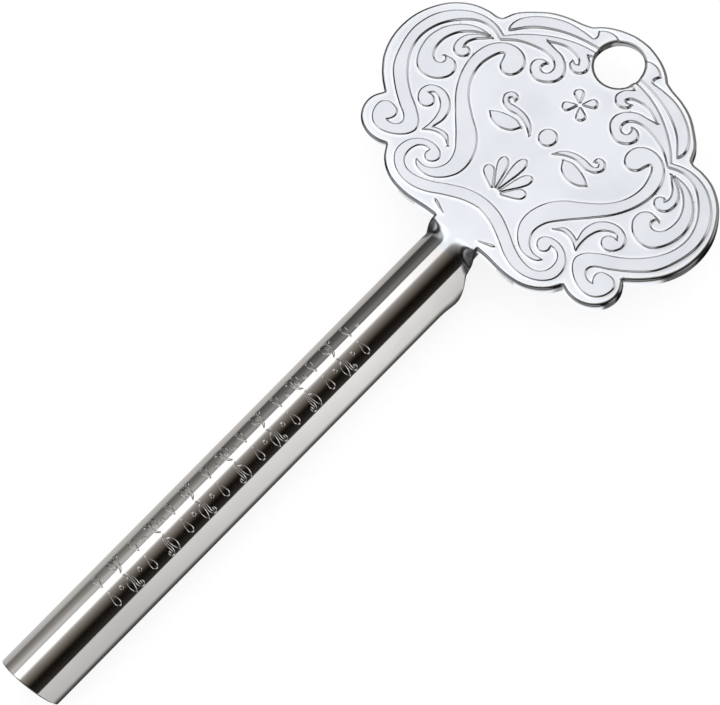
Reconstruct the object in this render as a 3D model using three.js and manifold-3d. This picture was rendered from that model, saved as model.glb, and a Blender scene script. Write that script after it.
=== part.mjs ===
// Tube-winding key: one stamped and rolled sheet-metal blank. A flat scroll-edged bow with a hang
// hole runs through a short neck into a panel whose two wings are rolled back into an open barrel.
// The slot along the back of the barrel grips the crimped end of a soft tube, and the bow turns it.
// Millimetres, +X from the barrel towards the bow, +Y to the left, +Z out of the bow's front face.

import * as THREE from 'three';
import { mergeVertices } from 'three/addons/utils/BufferGeometryUtils.js';
import Module from 'manifold-3d';

const wasm = await Module();
wasm.setup();

// Driving dimensions.
const SHEET = 1.2;
const BARREL_LENGTH = 62;
const BARREL_RADIUS = 3.5;
const SLOT_HALF_ANGLE = THREE.MathUtils.degToRad(28);
const CROWN_HALF_ANGLE = THREE.MathUtils.degToRad(24);
const FRONT_HALF_ANGLE = THREE.MathUtils.degToRad(72);
const LIP_ANGLE = THREE.MathUtils.degToRad(112);
const NECK_HALF_WIDTH = 3.03;
const NECK_END = 0.1;
const ROLL_START = -0.1;
const ROLL_END = -1.7;
const SHOULDER = -3.1;
const END_CORNER = 1;
const HOLE_X = 24.9;
const HOLE_RADIUS = 2.95;
const HOLE_RIM = 0.25;
const RELIEF = 0.15;
const TIP_X = 28.8;

// Fineness of the facets.
const STEPS_PER_SPAN = 2;
const FRONT_COLUMNS = 12;
const PANEL_COLUMNS = 4;
const CORNER_STEPS = 3;
const HOLE_SEGMENTS = 48;

// The barrel's bend is measured at the middle of the sheet, which keeps its length when rolled.
const MIDDLE_RADIUS = BARREL_RADIUS - SHEET / 2;
const CROWN_EDGE = MIDDLE_RADIUS * CROWN_HALF_ANGLE;
const FRONT_HALF_WIDTH = MIDDLE_RADIUS * FRONT_HALF_ANGLE;
const LIP_SEAM = MIDDLE_RADIUS * LIP_ANGLE;
const WING_EDGE = MIDDLE_RADIUS * (Math.PI - SLOT_HALF_ANGLE);

const satin = () => new THREE.MeshStandardMaterial({ color: 0xdfe2e6, roughness: 0.34, metalness: 1 });
const polished = () => new THREE.MeshStandardMaterial({ color: 0xc9c6c2, roughness: 0.12, metalness: 1 });

const model = new THREE.Group();

// ---- Outlines: each run is a smooth curve through its points, and runs meet at corners. ----

function sampleRun(points) {
  const knots = points.map(([x, y]) => new THREE.Vector3(x, y, 0));
  const curve = new THREE.CatmullRomCurve3(knots, false, 'centripetal');
  const steps = STEPS_PER_SPAN * (points.length - 1);
  return curve.getPoints(steps).slice(0, -1).map((p) => new THREE.Vector2(p.x, p.y));
}

function joinRuns(runs) {
  return runs.flatMap((run, index) => {
    const next = runs[(index + 1) % runs.length];
    return sampleRun([...run, next[0]]);
  });
}

function mirrored(points) {
  return points.map((p) => new THREE.Vector2(p.x, -p.y)).reverse();
}

function extrudeOutline(points, depth, holes = []) {
  const shape = new THREE.Shape(points);
  holes.forEach((hole) => shape.holes.push(new THREE.Path(hole)));
  return new THREE.ExtrudeGeometry(shape, { depth, bevelEnabled: false });
}

// ---- Booleans. ----

function toManifold(geometry) {
  const bare = geometry.clone();
  bare.deleteAttribute('normal');
  bare.deleteAttribute('uv');
  const merged = mergeVertices(bare, 1e-5);
  const mesh = new wasm.Mesh({
    numProp: 3,
    vertProperties: new Float32Array(merged.attributes.position.array),
    triVerts: new Uint32Array(merged.index.array),
  });
  return new wasm.Manifold(mesh);
}

function toGeometry(solid) {
  const { vertProperties, triVerts } = solid.getMesh();
  const geometry = new THREE.BufferGeometry();
  geometry.setAttribute('position', new THREE.BufferAttribute(vertProperties, 3));
  geometry.setIndex(new THREE.BufferAttribute(triVerts, 1));
  geometry.computeVertexNormals();
  return geometry;
}

// ---- The flat bow. ----

const BOW_EDGE = [
  // shoulder beside the neck
  [[NECK_END, NECK_HALF_WIDTH], [0.05, 4.2], [-0.18, 6.6], [-0.08, 8.2], [0.22, 9.4], [0.8, 10.5], [1.6, 11.4]],
  // small round lobe
  [[2.75, 12.15], [2.45, 13], [2.38, 14.2], [2.68, 15.3], [3.3, 16.2], [4.15, 16.8], [5.15, 17.05], [6.1, 16.9]],
  // large lobe
  [[7.08, 16.35], [8, 17.5], [9, 18.5], [10.2, 19.4], [12, 20.15], [14, 20.4], [16, 20.15], [17.9, 19.33],
    [19.5, 18.1], [20.75, 16.28], [21.25, 14.5], [21.32, 13.3]],
  // second lobe
  [[21.5, 12.88], [22.9, 12.22], [24.2, 10.9], [25.3, 9.4], [26, 7.7], [26.38, 6.1]],
  // tip lobe
  [[26.7, 5.17], [27.4, 4.38], [28.08, 3.2], [28.5, 2.02], [28.74, 1], [TIP_X, 0]],
];

function bowOutline() {
  const upper = BOW_EDGE.flatMap((run, index) => {
    const next = BOW_EDGE[index + 1];
    return sampleRun(next ? [...run, next[0]] : run);
  });
  const tip = new THREE.Vector2(TIP_X, 0);
  return [...upper, tip, ...mirrored(upper)].reverse();
}

function circle(x, radius) {
  return Array.from({ length: HOLE_SEGMENTS }, (_, i) => {
    const angle = (2 * Math.PI * i) / HOLE_SEGMENTS;
    return new THREE.Vector2(x + radius * Math.cos(angle), radius * Math.sin(angle));
  });
}

function addBowPlate() {
  const geometry = extrudeOutline(bowOutline(), SHEET, [circle(HOLE_X, HOLE_RADIUS)]);
  geometry.translate(0, 0, -SHEET);
  const plate = new THREE.Mesh(geometry, satin());
  plate.name = 'bow_plate';
  model.add(plate);
}

// ---- Raised scrollwork, each band a low flat-topped solid on the bow's front face. ----

// Long band: curls in the small lobe, frames the large lobe and ends in two curls by the hang hole.
const EDGE_SCROLL = [
  [[4.8, 14.33], [5.17, 14.03], [5.7, 13.87], [6.25, 14.1], [6.5, 14.8], [6.48, 15.5], [6, 16.1], [5.42, 16.2],
    [4.5, 15.93], [3.75, 15.17], [3.55, 14.2], [3.75, 13.2], [4.35, 12.1], [5.17, 11.33], [5.9, 11.12],
    [6.75, 11.5], [7.67, 12.67], [8.75, 14.58], [10.2, 16.35], [12.2, 17.78], [14.33, 18.27], [16.5, 17.75],
    [18.4, 16.35], [19.45, 14.9], [19.78, 13.5], [19.67, 12.5]],
  [[19.3, 11.53], [20.42, 9.92], [21.05, 8.1], [21.25, 6.67], [21.05, 5.6], [20.6, 5.02], [20.1, 4.83],
    [19.55, 4.97], [19.27, 5.45], [19.42, 5.95], [19.9, 6.07]],
  [[20.42, 5.8], [20.42, 6.35], [20.1, 6.88], [19.5, 7.1], [18.7, 6.7], [18.22, 5.67], [18.55, 4.6],
    [19.4, 3.75], [20.33, 3.63], [21.3, 4.2], [21.95, 5.2], [22.12, 6.3]],
  [[22.3, 7.55], [22.75, 6.67], [23.1, 5.6], [23.1, 4.7], [22.78, 3.55]],
  [[22.25, 3.17], [22.12, 3.6]],
  [[22.33, 4.03], [21.85, 4], [21.45, 3.5], [21.38, 2.95], [21.7, 2.4], [22.17, 2.13], [22.8, 2.27], [23.3, 2.65]],
  [[23.67, 3.17], [23.9, 2.9], [23.9, 2.2]],
  [[24.5, 2.2], [24.42, 3.3], [24.08, 5], [23.35, 6.9], [22.33, 8.67], [21.1, 10.28]],
  [[19.85, 11.5], [20.3, 12.9], [20.33, 14.5], [19.8, 16.2], [18.5, 17.92], [16.8, 19.03], [14.5, 19.5],
    [12, 19.03], [9.9, 18.05], [8.3, 16.35], [7, 14.4], [6.42, 13.33], [5.95, 12.88], [5.45, 12.82],
    [4.95, 13.25], [4.75, 13.85]],
];

// Broad C-scroll inside the large lobe.
const LOBE_SCROLL = [
  [[18.98, 12.75], [19, 13.5], [18.75, 14.67], [18, 15.9], [16.7, 17], [14.83, 17.53], [12.8, 17.1],
    [11.45, 16.05], [11.22, 14.8], [11.7, 13.5], [12.8, 12.7], [13.75, 12.8], [14.35, 13.5]],
  [[14.27, 14.75], [14.05, 14.4], [13.67, 14.25], [13.25, 14.5], [13.13, 15.1], [13.6, 15.8], [14.6, 16.15],
    [15.8, 16.1], [17.1, 15.5], [18.2, 14.35]],
];

// Small leaf that curls inside the C-scroll.
const LOBE_LEAF = [
  [[16.37, 13.17], [15.92, 12.9], [15.35, 13.15], [15.1, 13.85], [15.45, 14.58], [16.33, 14.87], [17.3, 14.65],
    [18.15, 13.85], [18.7, 12.95]],
  [[18.98, 12.3], [18.4, 12.82], [17.67, 13.58], [16.8, 13.98]],
  [[16.08, 13.87], [16.42, 13.55]],
];

// Leaf with a curled tendril beside the cartouche.
const SIDE_LEAF = [
  [[6.37, 10.58], [7.3, 10.45], [8.4, 10.52], [9.5, 10.95], [10.2, 11.8], [10.35, 12.6]],
  [[9.87, 13.05], [9.93, 12.55], [9.6, 11.93], [9.1, 11.78], [8.6, 12.1], [8.42, 12.7], [8.75, 13.42],
    [9.6, 13.88], [10.6, 13.55], [11.12, 12.4], [10.9, 11.15], [10, 10.1], [8.67, 9.7]],
  [[7.25, 9.98], [7.55, 9.1], [7.55, 8.15]],
  [[6.67, 7.25], [7.12, 8.1], [7.17, 8.9], [6.9, 9.8]],
];

// Cartouche band: one S-curve from the curl near the neck to the hooked knob near the hang hole.
const CARTOUCHE = [
  [[3.5, 8.75], [3.05, 8.35], [2.8, 7.4], [2.95, 6.3], [3.7, 5.2], [5, 4.35], [6.5, 4.22], [8.3, 4.85],
    [9.67, 6], [10.9, 7.8], [12.33, 9.58], [14, 10.72], [15.8, 11.1], [17.3, 10.82], [18.2, 10.38],
    [18.38, 10.02], [17.9, 9.75], [17.1, 9.45], [16.68, 8.8], [16.85, 7.95], [17.6, 7.45], [18.6, 7.5],
    [19.4, 8.2], [19.72, 9.4], [19.35, 10.75], [18.2, 11.92], [16.33, 12.42], [14.2, 12.1], [12, 11],
    [10, 9.25], [8, 7.33], [6.6, 6.25], [5.2, 5.95], [4, 6.52], [3.42, 7.5]],
];

// Band that crosses above the neck and curls up on each side; only the upper half is listed.
const NECK_BAND = [
  [[3.58, 0], [3.42, 1], [3.08, 2.17], [2.3, 3.85], [1.42, 5.5], [0.98, 7], [1, 8.5], [1.6, 10], [2.6, 10.92],
    [3.6, 11.1], [4.7, 10.75], [5.6, 9.75], [5.92, 8.5], [5.6, 7.35], [4.95, 6.97], [4.35, 7.25], [4.1, 7.9],
    [4.5, 8.42]],
  [[5.17, 8.37], [5.2, 8.95], [4.75, 9.68], [3.75, 10], [2.75, 9.75], [2.1, 8.9], [2.05, 7.5], [2.6, 5.8],
    [3.5, 4.2], [4.35, 2.4], [4.68, 1], [4.75, 0]],
];

// Crescent leaf along the second lobe, ending round the hang hole.
const CROWN_LEAF = [
  [[20.67, 11.58], [21.33, 11.78], [22.3, 11.6], [23.5, 10.7], [24.6, 9.15], [25.3, 7.4], [25.53, 5.6]],
  [[25.53, 4], [26, 3.88]],
  [[26.63, 4.2], [27.05, 3.65], [27.28, 2.9], [27.2, 2.2], [26.8, 1.6], [26.3, 1.2]],
  [[25.1, 2.2], [25.05, 3.2], [24.6, 5.7], [23.85, 7.8], [22.6, 9.85]],
];

// Central spray: a stem that curls over at its outer end, with one leaf.
const SPRAY_STEM = [
  [[12.9, 1.6], [13.6, 2.7], [13.95, 4], [13.8, 5.3], [14.1, 6.3], [14.9, 6.75], [15.6, 6.3], [15.55, 5.55]],
  [[14.95, 5.4], [15.1, 5.95], [14.75, 6.15], [14.45, 5.75], [14.55, 4.6], [14.4, 3.3], [13.8, 2.2]],
];
const SPRAY_LEAF = [
  [[13.1, 2.9], [12.2, 3.5], [11.75, 4.6], [11.9, 5.9]],
  [[12.45, 6.7], [12.95, 5.9], [13.3, 4.8], [13.4, 3.8]],
];

// Fan of drops above the neck band.
const FAN_ROOT = 5.6;
const FAN_DROPS = [
  { angle: -50, start: 0.75, length: 2.6 },
  { angle: -25, start: 0.8, length: 3.6 },
  { angle: 0, start: 0.8, length: 4.3 },
  { angle: 25, start: 0.8, length: 3.6 },
  { angle: 50, start: 0.75, length: 2.6 },
];
const ROSETTE_PETALS = 4;
const ROSETTE_X = 18.9;
const BOSS_X = 14;
const BOSS_RADIUS = 0.95;

function dropOutline(root, angleDegrees, start, length, width) {
  const angle = THREE.MathUtils.degToRad(angleDegrees);
  const along = new THREE.Vector2(Math.cos(angle), Math.sin(angle));
  const across = new THREE.Vector2(-along.y, along.x);
  const profile = [[0, 0.12], [0.3, 0.55], [0.6, 0.95], [0.82, 1], [0.95, 0.6], [1, 0]];
  const side = (sign) => profile.map(([t, w]) => new THREE.Vector2(root, 0)
    .addScaledVector(along, start + t * length)
    .addScaledVector(across, (sign * w * width) / 2));
  return [...side(-1), ...side(1).slice(0, -1).reverse()];
}

const holeCutter = () => {
  const geometry = extrudeOutline(circle(HOLE_X, HOLE_RADIUS + HOLE_RIM), 4);
  geometry.translate(0, 0, -2);
  return toManifold(geometry);
};

function addRaised(name, outline, { cutHole = false } = {}) {
  const points = THREE.ShapeUtils.isClockWise(outline) ? [...outline].reverse() : outline;
  const flat = extrudeOutline(points, RELIEF);
  const geometry = cutHole ? toGeometry(toManifold(flat).subtract(holeCutter())) : flat;
  const band = new THREE.Mesh(geometry, satin());
  band.name = name;
  model.add(band);
}

function addRaisedPair(name, runs, options) {
  const left = joinRuns(runs);
  addRaised(`${name}_left`, left, options);
  addRaised(`${name}_right`, mirrored(left), options);
}

function addNeckBand() {
  const [outer, inner] = NECK_BAND;
  const half = [...sampleRun([...outer, inner[0]]), ...sampleRun(inner), new THREE.Vector2(...inner.at(-1))];
  const otherHalf = mirrored(half.slice(1, -1));
  addRaised('neck_band', [...half, ...otherHalf]);
}

function addOrnaments() {
  addRaisedPair('edge_scroll', EDGE_SCROLL, { cutHole: true });
  addRaisedPair('lobe_scroll', LOBE_SCROLL);
  addRaisedPair('lobe_leaf', LOBE_LEAF);
  addRaisedPair('side_leaf', SIDE_LEAF);
  addRaisedPair('cartouche_band', CARTOUCHE);
  addRaisedPair('crown_leaf', CROWN_LEAF, { cutHole: true });
  addNeckBand();
  addRaisedPair('spray_stem', SPRAY_STEM);
  addRaisedPair('spray_leaf', SPRAY_LEAF);
  addRaised('centre_boss', circle(BOSS_X, BOSS_RADIUS).filter((_, i) => i % 2 === 0));
  FAN_DROPS.forEach(({ angle, start, length }, index) => {
    addRaised(`fan_drop_${index + 1}`, dropOutline(FAN_ROOT, angle, start, length, 1.05));
  });
  for (let i = 0; i < ROSETTE_PETALS; i += 1) {
    const angle = 45 + (360 / ROSETTE_PETALS) * i;
    addRaised(`rosette_petal_${i + 1}`, dropOutline(ROSETTE_X, angle, 0.3, 1.5, 0.95));
  }
}

// ---- Neck and barrel: the sheet, bent about an axis along X behind the front face. ----

// How far the roll has formed at a station: 0 on the flat bow, 1 on the barrel.
function rollAmount(x) {
  return THREE.MathUtils.smoothstep(-x, -ROLL_START, -ROLL_END);
}

// A point of the sheet: across is its distance from the centre line before rolling.
function rolledPoint(x, across, depth) {
  const curvature = rollAmount(x) / BARREL_RADIUS;
  if (curvature < 1e-6) {
    return new THREE.Vector3(x, across, -depth);
  }
  const radius = 1 / curvature;
  const angle = across / (radius - SHEET / 2);
  return new THREE.Vector3(x, (radius - depth) * Math.sin(angle), (radius - depth) * Math.cos(angle) - radius);
}

// A closed strip of sheet through stations { x, from, to }, with a front and a back skin.
function rolledStrip(stations, columns) {
  const positions = [];
  const rows = stations.length;
  const perSkin = rows * (columns + 1);
  [0, SHEET].forEach((depth) => {
    stations.forEach(({ x, from, to }) => {
      for (let j = 0; j <= columns; j += 1) {
        positions.push(...rolledPoint(x, from + ((to - from) * j) / columns, depth).toArray());
      }
    });
  });
  const vertex = (skin, row, column) => skin * perSkin + row * (columns + 1) + column;
  const indices = [];
  const quad = (a, b, c, d) => indices.push(a, b, c, a, c, d);
  for (let i = 0; i < rows - 1; i += 1) {
    for (let j = 0; j < columns; j += 1) {
      quad(vertex(0, i, j), vertex(0, i, j + 1), vertex(0, i + 1, j + 1), vertex(0, i + 1, j));
      quad(vertex(1, i, j), vertex(1, i + 1, j), vertex(1, i + 1, j + 1), vertex(1, i, j + 1));
    }
    quad(vertex(0, i, 0), vertex(0, i + 1, 0), vertex(1, i + 1, 0), vertex(1, i, 0));
    quad(vertex(0, i, columns), vertex(1, i, columns), vertex(1, i + 1, columns), vertex(0, i + 1, columns));
  }
  for (let j = 0; j < columns; j += 1) {
    quad(vertex(0, 0, j), vertex(1, 0, j), vertex(1, 0, j + 1), vertex(0, 0, j + 1));
    quad(vertex(0, rows - 1, j), vertex(0, rows - 1, j + 1), vertex(1, rows - 1, j + 1), vertex(1, rows - 1, j));
  }
  const geometry = new THREE.BufferGeometry();
  geometry.setAttribute('position', new THREE.Float32BufferAttribute(positions, 3));
  geometry.setIndex(indices);
  geometry.computeVertexNormals();
  return geometry;
}

function addStrip(name, stations, columns, material) {
  const strip = new THREE.Mesh(rolledStrip(stations, columns), material);
  strip.name = name;
  model.add(strip);
}

// Half-width of the neck: parallel beside the bow, then flaring to the barrel's front panel.
function neckHalfWidth(x) {
  const flare = THREE.MathUtils.smoothstep(-x, 0.4, -SHOULDER);
  return THREE.MathUtils.lerp(NECK_HALF_WIDTH, FRONT_HALF_WIDTH, flare);
}

function addNeck() {
  const steps = 9;
  const stations = Array.from({ length: steps + 1 }, (_, i) => {
    const x = THREE.MathUtils.lerp(SHOULDER, NECK_END, i / steps);
    const half = neckHalfWidth(x);
    return { x, from: half, to: -half };
  });
  addStrip('neck_web', stations, FRONT_COLUMNS, satin());
}

// The barrel is rolled from seven long panels: a crown in front, then on each side a flank, a wing
// and a lip that ends at the slot. The wing and the lip round off together at the shoulder.
const WING_SHOULDER = [{ x: -3.3, edge: LIP_SEAM }, { x: SHOULDER, edge: 5.15 }];
const LIP_SHOULDER = [
  { x: -5.6, edge: WING_EDGE }, { x: -4.6, edge: 7.35 }, { x: -3.8, edge: 6.6 }, { x: -3.4, edge: 5.9 },
];

function addCrown() {
  const stations = [-BARREL_LENGTH, SHOULDER].map((x) => ({ x, from: CROWN_EDGE, to: -CROWN_EDGE }));
  addStrip('barrel_crown', stations, PANEL_COLUMNS, polished());
}

// A pair of panels between an inner seam and an outer edge that is given at stations along the barrel.
function addPanelPair(name, inner, edges) {
  const left = edges.map(({ x, edge }) => ({ x, from: edge, to: inner }));
  const right = edges.map(({ x, edge }) => ({ x, from: -inner, to: -edge }));
  addStrip(`${name}_left`, left, PANEL_COLUMNS, polished());
  addStrip(`${name}_right`, right, PANEL_COLUMNS, polished());
}

function endCorner() {
  return Array.from({ length: CORNER_STEPS + 1 }, (_, i) => {
    const angle = (Math.PI / 2) * (i / CORNER_STEPS);
    return {
      x: -BARREL_LENGTH + END_CORNER * (1 - Math.cos(angle)),
      edge: WING_EDGE - END_CORNER * (1 - Math.sin(angle)),
    };
  });
}

function addBarrel() {
  const end = -BARREL_LENGTH;
  addCrown();
  addPanelPair('barrel_flank', CROWN_EDGE, [end, SHOULDER].map((x) => ({ x, edge: FRONT_HALF_WIDTH })));
  addPanelPair('barrel_wing', FRONT_HALF_WIDTH, [{ x: end, edge: LIP_SEAM }, ...WING_SHOULDER]);
  addPanelPair('slot_lip', LIP_SEAM, [...endCorner(), ...LIP_SHOULDER]);
}

addBowPlate();
addOrnaments();
addNeck();
addBarrel();

// The key lies on the two edges of its slot, centred over the origin.
const SLOT_EDGE_DEPTH = BARREL_RADIUS * (1 + Math.cos(SLOT_HALF_ANGLE));
model.position.set((BARREL_LENGTH - TIP_X) / 2, 0, SLOT_EDGE_DEPTH);

const group = new THREE.Group();
group.add(model);

export default group;
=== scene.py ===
"""Tube-winding key in plated sheet metal: the looks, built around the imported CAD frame.

The key is made the way the real one is. A flat blank is cut to its outline, its ornament is pressed
into the front face, and then the blank is bent round a lengthwise axis into the neck and the barrel.
Lengths here are in millimetres in the key's own frame: x = 0 at the neck notch, y = 0 on the centre
line, z = 0 on the bow's front face. The meshes are made in metres, in the frame's place.
"""

import math

import bpy
import numpy as np
from mathutils import Matrix, Vector
from mathutils.geometry import delaunay_2d_cdt
from mathutils.kdtree import KDTree


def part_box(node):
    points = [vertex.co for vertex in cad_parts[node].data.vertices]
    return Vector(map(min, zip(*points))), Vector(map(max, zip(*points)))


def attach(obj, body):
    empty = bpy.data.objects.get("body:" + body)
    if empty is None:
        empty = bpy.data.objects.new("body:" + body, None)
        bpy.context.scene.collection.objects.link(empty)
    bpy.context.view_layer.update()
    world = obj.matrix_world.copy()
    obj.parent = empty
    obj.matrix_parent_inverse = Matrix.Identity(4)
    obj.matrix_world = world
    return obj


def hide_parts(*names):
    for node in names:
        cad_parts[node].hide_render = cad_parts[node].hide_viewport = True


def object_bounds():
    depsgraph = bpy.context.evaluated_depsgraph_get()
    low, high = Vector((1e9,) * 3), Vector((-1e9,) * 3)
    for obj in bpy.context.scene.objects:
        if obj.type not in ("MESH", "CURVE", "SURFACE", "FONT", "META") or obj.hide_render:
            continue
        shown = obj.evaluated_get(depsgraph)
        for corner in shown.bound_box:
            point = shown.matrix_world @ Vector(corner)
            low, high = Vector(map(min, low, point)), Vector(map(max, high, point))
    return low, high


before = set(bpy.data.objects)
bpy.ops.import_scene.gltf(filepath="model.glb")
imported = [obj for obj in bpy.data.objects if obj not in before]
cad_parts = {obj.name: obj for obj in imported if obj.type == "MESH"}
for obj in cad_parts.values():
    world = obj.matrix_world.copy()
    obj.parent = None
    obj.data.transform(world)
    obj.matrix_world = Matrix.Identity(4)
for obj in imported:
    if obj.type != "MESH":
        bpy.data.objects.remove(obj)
cad_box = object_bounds()

MM = 0.001

# The frame's nodes: regions of the blank, and the raised bands of the ornament.
BARREL_PAIRS = ["barrel_flank", "barrel_wing", "slot_lip"]
BARREL_NODES = ["barrel_crown"]
for pair in BARREL_PAIRS:
    BARREL_NODES += [f"{pair}_left", f"{pair}_right"]
BLANK_NODES = ["bow_plate", "neck_web", *BARREL_NODES]
ORNAMENT_NODES = [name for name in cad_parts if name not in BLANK_NODES]

# ---- Driving dimensions, from the frame where it holds them. ----

bow_low, bow_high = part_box("bow_plate")
barrel_low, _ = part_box("barrel_crown")

TIP_X = 28.8
ORIGIN = Vector((bow_high.x - TIP_X * MM, 0, bow_high.z))
SHEET = (bow_high.z - bow_low.z) / MM
BARREL_END = (barrel_low.x - ORIGIN.x) / MM

# Barrel: it is a little thicker by the neck, lies off the centre line and flares at its wings.
BARREL_RADIUS = 3.5
RADIUS_SPREAD = 0.06
BARREL_SHIFT = -0.21
BARREL_LEAN = math.radians(0.22)
WING_FLARE = 0.19
WING_FLARE_X = -4.4
WING_FLARE_LENGTH = 1.2
SLOT_HALF_ANGLE = math.radians(28)
FRONT_HALF_ANGLE = math.radians(72)
END_CORNER = 1.2
END_BULGE = 0.6
END_SLANT = 0.15
END_REACH = 6

# Neck: where it starts to widen and to roll, where the roll is complete and the barrel starts, and
# where the barrel's front panel reaches its full width.
NECK_HALF_WIDTH = 3.03
NECK_END = 0.1
FLARE_START = -0.4
ROLL_START = -0.1
ROLL_END = -1.7
BARREL_START = -2.2
SHOULDER = -3.1

# Bow: its left side is cut a little wider than its right side.
LEFT_GROWTH = 0.5
LEFT_GROWTH_FROM = 6
LEFT_GROWTH_FULL = 18
HOLE_X = 25
HOLE_RADIUS = 2.62
HOLE_BACK_RADIUS = 2.9

# Relief of the ornament, the width of its bevel, and the soft skirt round it.
NECK_RELIEF = 0.06
TIP_RELIEF = 0.19
BORDER_RELIEF = 0.055
NECK_BEVEL = 0.16
TIP_BEVEL = 0.28
BORDER_BEVEL = 0.13
FULL_RELIEF_X = 20
SKIRT_RISE = 0.02
SKIRT_WIDTH = 0.5

# Rolled edges: the width of the roll and how far the edge drops.
EDGE_ROLL = 0.36
EDGE_DROP = 0.3
HOLE_EDGE_DROP = 0.1
BARREL_EDGE_ROLL = 0.1
BARREL_EDGE_DROP = 0.06

# Stain, painted highlight and painted shade: the groove's share of the bevel, painted highlight
# strips (start, width), painted shade on the edges and at the creases.
GROOVE_SHARE = 0.4
BAND_STRIP = (0.15, 0.25)
RIM_STRIP = (0.4, 0.5)
EDGE_SHADE_AND_WEAR = 2.1
HOLE_SHADE_AND_WEAR = 2.2
CREASE_X = -1.2
CREASE_LENGTH = 1.3
CREASE_WIDTH = 1.3

# The bend keeps the length of the middle of the sheet.
MIDDLE_RADIUS = BARREL_RADIUS - SHEET / 2
FRONT_HALF_WIDTH = MIDDLE_RADIUS * FRONT_HALF_ANGLE
WING_EDGE = MIDDLE_RADIUS * (math.pi - SLOT_HALF_ANGLE)

# ---- Outlines: each run is a smooth curve through its points, and runs meet at corners. ----

BOW_EDGE = [
    # shoulder beside the neck
    [(NECK_END, NECK_HALF_WIDTH), (0.05, 4.2), (-0.18, 6.6), (-0.08, 8.2), (0.22, 9.4),
     (0.8, 10.5), (1.6, 11.4)],
    # small round lobe
    [(2.75, 12.15), (2.45, 13), (2.38, 14.2), (2.68, 15.3), (3.3, 16.2), (4.15, 16.8),
     (5.15, 17.05), (6.1, 16.9)],
    # large lobe
    [(7.08, 16.35), (8, 17.5), (9, 18.5), (10.2, 19.4), (12, 20.15), (14, 20.4), (16, 20.15),
     (17.9, 19.33), (19.5, 18.1), (20.75, 16.28), (21.25, 14.5), (21.32, 13.3)],
    # second lobe
    [(21.5, 12.88), (22.9, 12.22), (24.2, 10.9), (25.3, 9.4), (26, 7.7), (26.38, 6.1)],
    # tip lobe
    [(26.7, 5.17), (27.4, 4.38), (28.08, 3.2), (28.5, 2.02), (28.74, 1), (TIP_X, 0)],
]

# Shoulder of the wing, from the neck round to the slot edge.
WING_SHOULDER = [
    (BARREL_START, 3.46), (-2.5, 3.78), (-2.85, 4.2), (-3.25, 4.75), (-3.75, 5.4), (-4.45, 6.15),
    (-5.3, 6.85), (-6.3, 7.4), (-7.5, WING_EDGE),
]

# Long band: curls in the small lobe, frames the large lobe and ends in two curls by the hang hole.
EDGE_SCROLL = [
    [(4.8, 14.33), (5.17, 14.03), (5.7, 13.87), (6.25, 14.1), (6.5, 14.8), (6.48, 15.5),
     (6, 16.1), (5.42, 16.2), (4.5, 15.93), (3.75, 15.17), (3.55, 14.2), (3.75, 13.2),
     (4.35, 12.1), (5.17, 11.33), (5.9, 11.12), (6.75, 11.5), (7.67, 12.67), (8.75, 14.58),
     (10.2, 16.35), (12.2, 17.78), (14.33, 18.27), (16.5, 17.75), (18.4, 16.35), (19.45, 14.9),
     (19.78, 13.5), (19.67, 12.5)],
    [(19.3, 11.53), (20.42, 9.92), (21.05, 8.1), (21.25, 6.67), (21.05, 5.6), (20.6, 5.02),
     (20.1, 4.83), (19.55, 4.97), (19.27, 5.45), (19.42, 5.95), (19.9, 6.07)],
    [(20.42, 5.8), (20.42, 6.35), (20.1, 6.88), (19.5, 7.1), (18.7, 6.7), (18.22, 5.67),
     (18.55, 4.6), (19.4, 3.75), (20.33, 3.63), (21.3, 4.2), (21.95, 5.2), (22.12, 6.3)],
    [(22.3, 7.55), (22.75, 6.67), (23.1, 5.6), (23.1, 4.7), (22.78, 3.55)],
    [(22.25, 3.17), (22.12, 3.6)],
    [(22.33, 4.03), (21.85, 4), (21.45, 3.5), (21.38, 2.95), (21.7, 2.4), (22.17, 2.13),
     (22.8, 2.27), (23.3, 2.65)],
    [(23.67, 3.17), (23.9, 2.9), (23.9, 2.2)],
    [(24.5, 2.2), (24.42, 3.3), (24.08, 5), (23.35, 6.9), (22.33, 8.67), (21.1, 10.28)],
    [(19.85, 11.5), (20.3, 12.9), (20.33, 14.5), (19.8, 16.2), (18.5, 17.92), (16.8, 19.03),
     (14.5, 19.5), (12, 19.03), (9.9, 18.05), (8.3, 16.35), (7, 14.4), (6.42, 13.33),
     (5.95, 12.88), (5.45, 12.82), (4.95, 13.25), (4.75, 13.85)],
]

# Broad C-scroll inside the large lobe.
LOBE_SCROLL = [
    [(18.98, 12.75), (19, 13.5), (18.75, 14.67), (18, 15.9), (16.7, 17), (14.83, 17.53),
     (12.8, 17.1), (11.45, 16.05), (11.22, 14.8), (11.7, 13.5), (12.8, 12.7), (13.75, 12.8),
     (14.35, 13.5)],
    [(14.27, 14.75), (14.05, 14.4), (13.67, 14.25), (13.25, 14.5), (13.13, 15.1), (13.6, 15.8),
     (14.6, 16.15), (15.8, 16.1), (17.1, 15.5), (18.2, 14.35)],
]

# Small leaf that curls inside the C-scroll.
LOBE_LEAF = [
    [(16.37, 13.17), (15.92, 12.9), (15.35, 13.15), (15.1, 13.85), (15.45, 14.58), (16.33, 14.87),
     (17.3, 14.65), (18.15, 13.85), (18.7, 12.95)],
    [(18.98, 12.3), (18.4, 12.82), (17.67, 13.58), (16.8, 13.98)],
    [(16.08, 13.87), (16.42, 13.55)],
]

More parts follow.
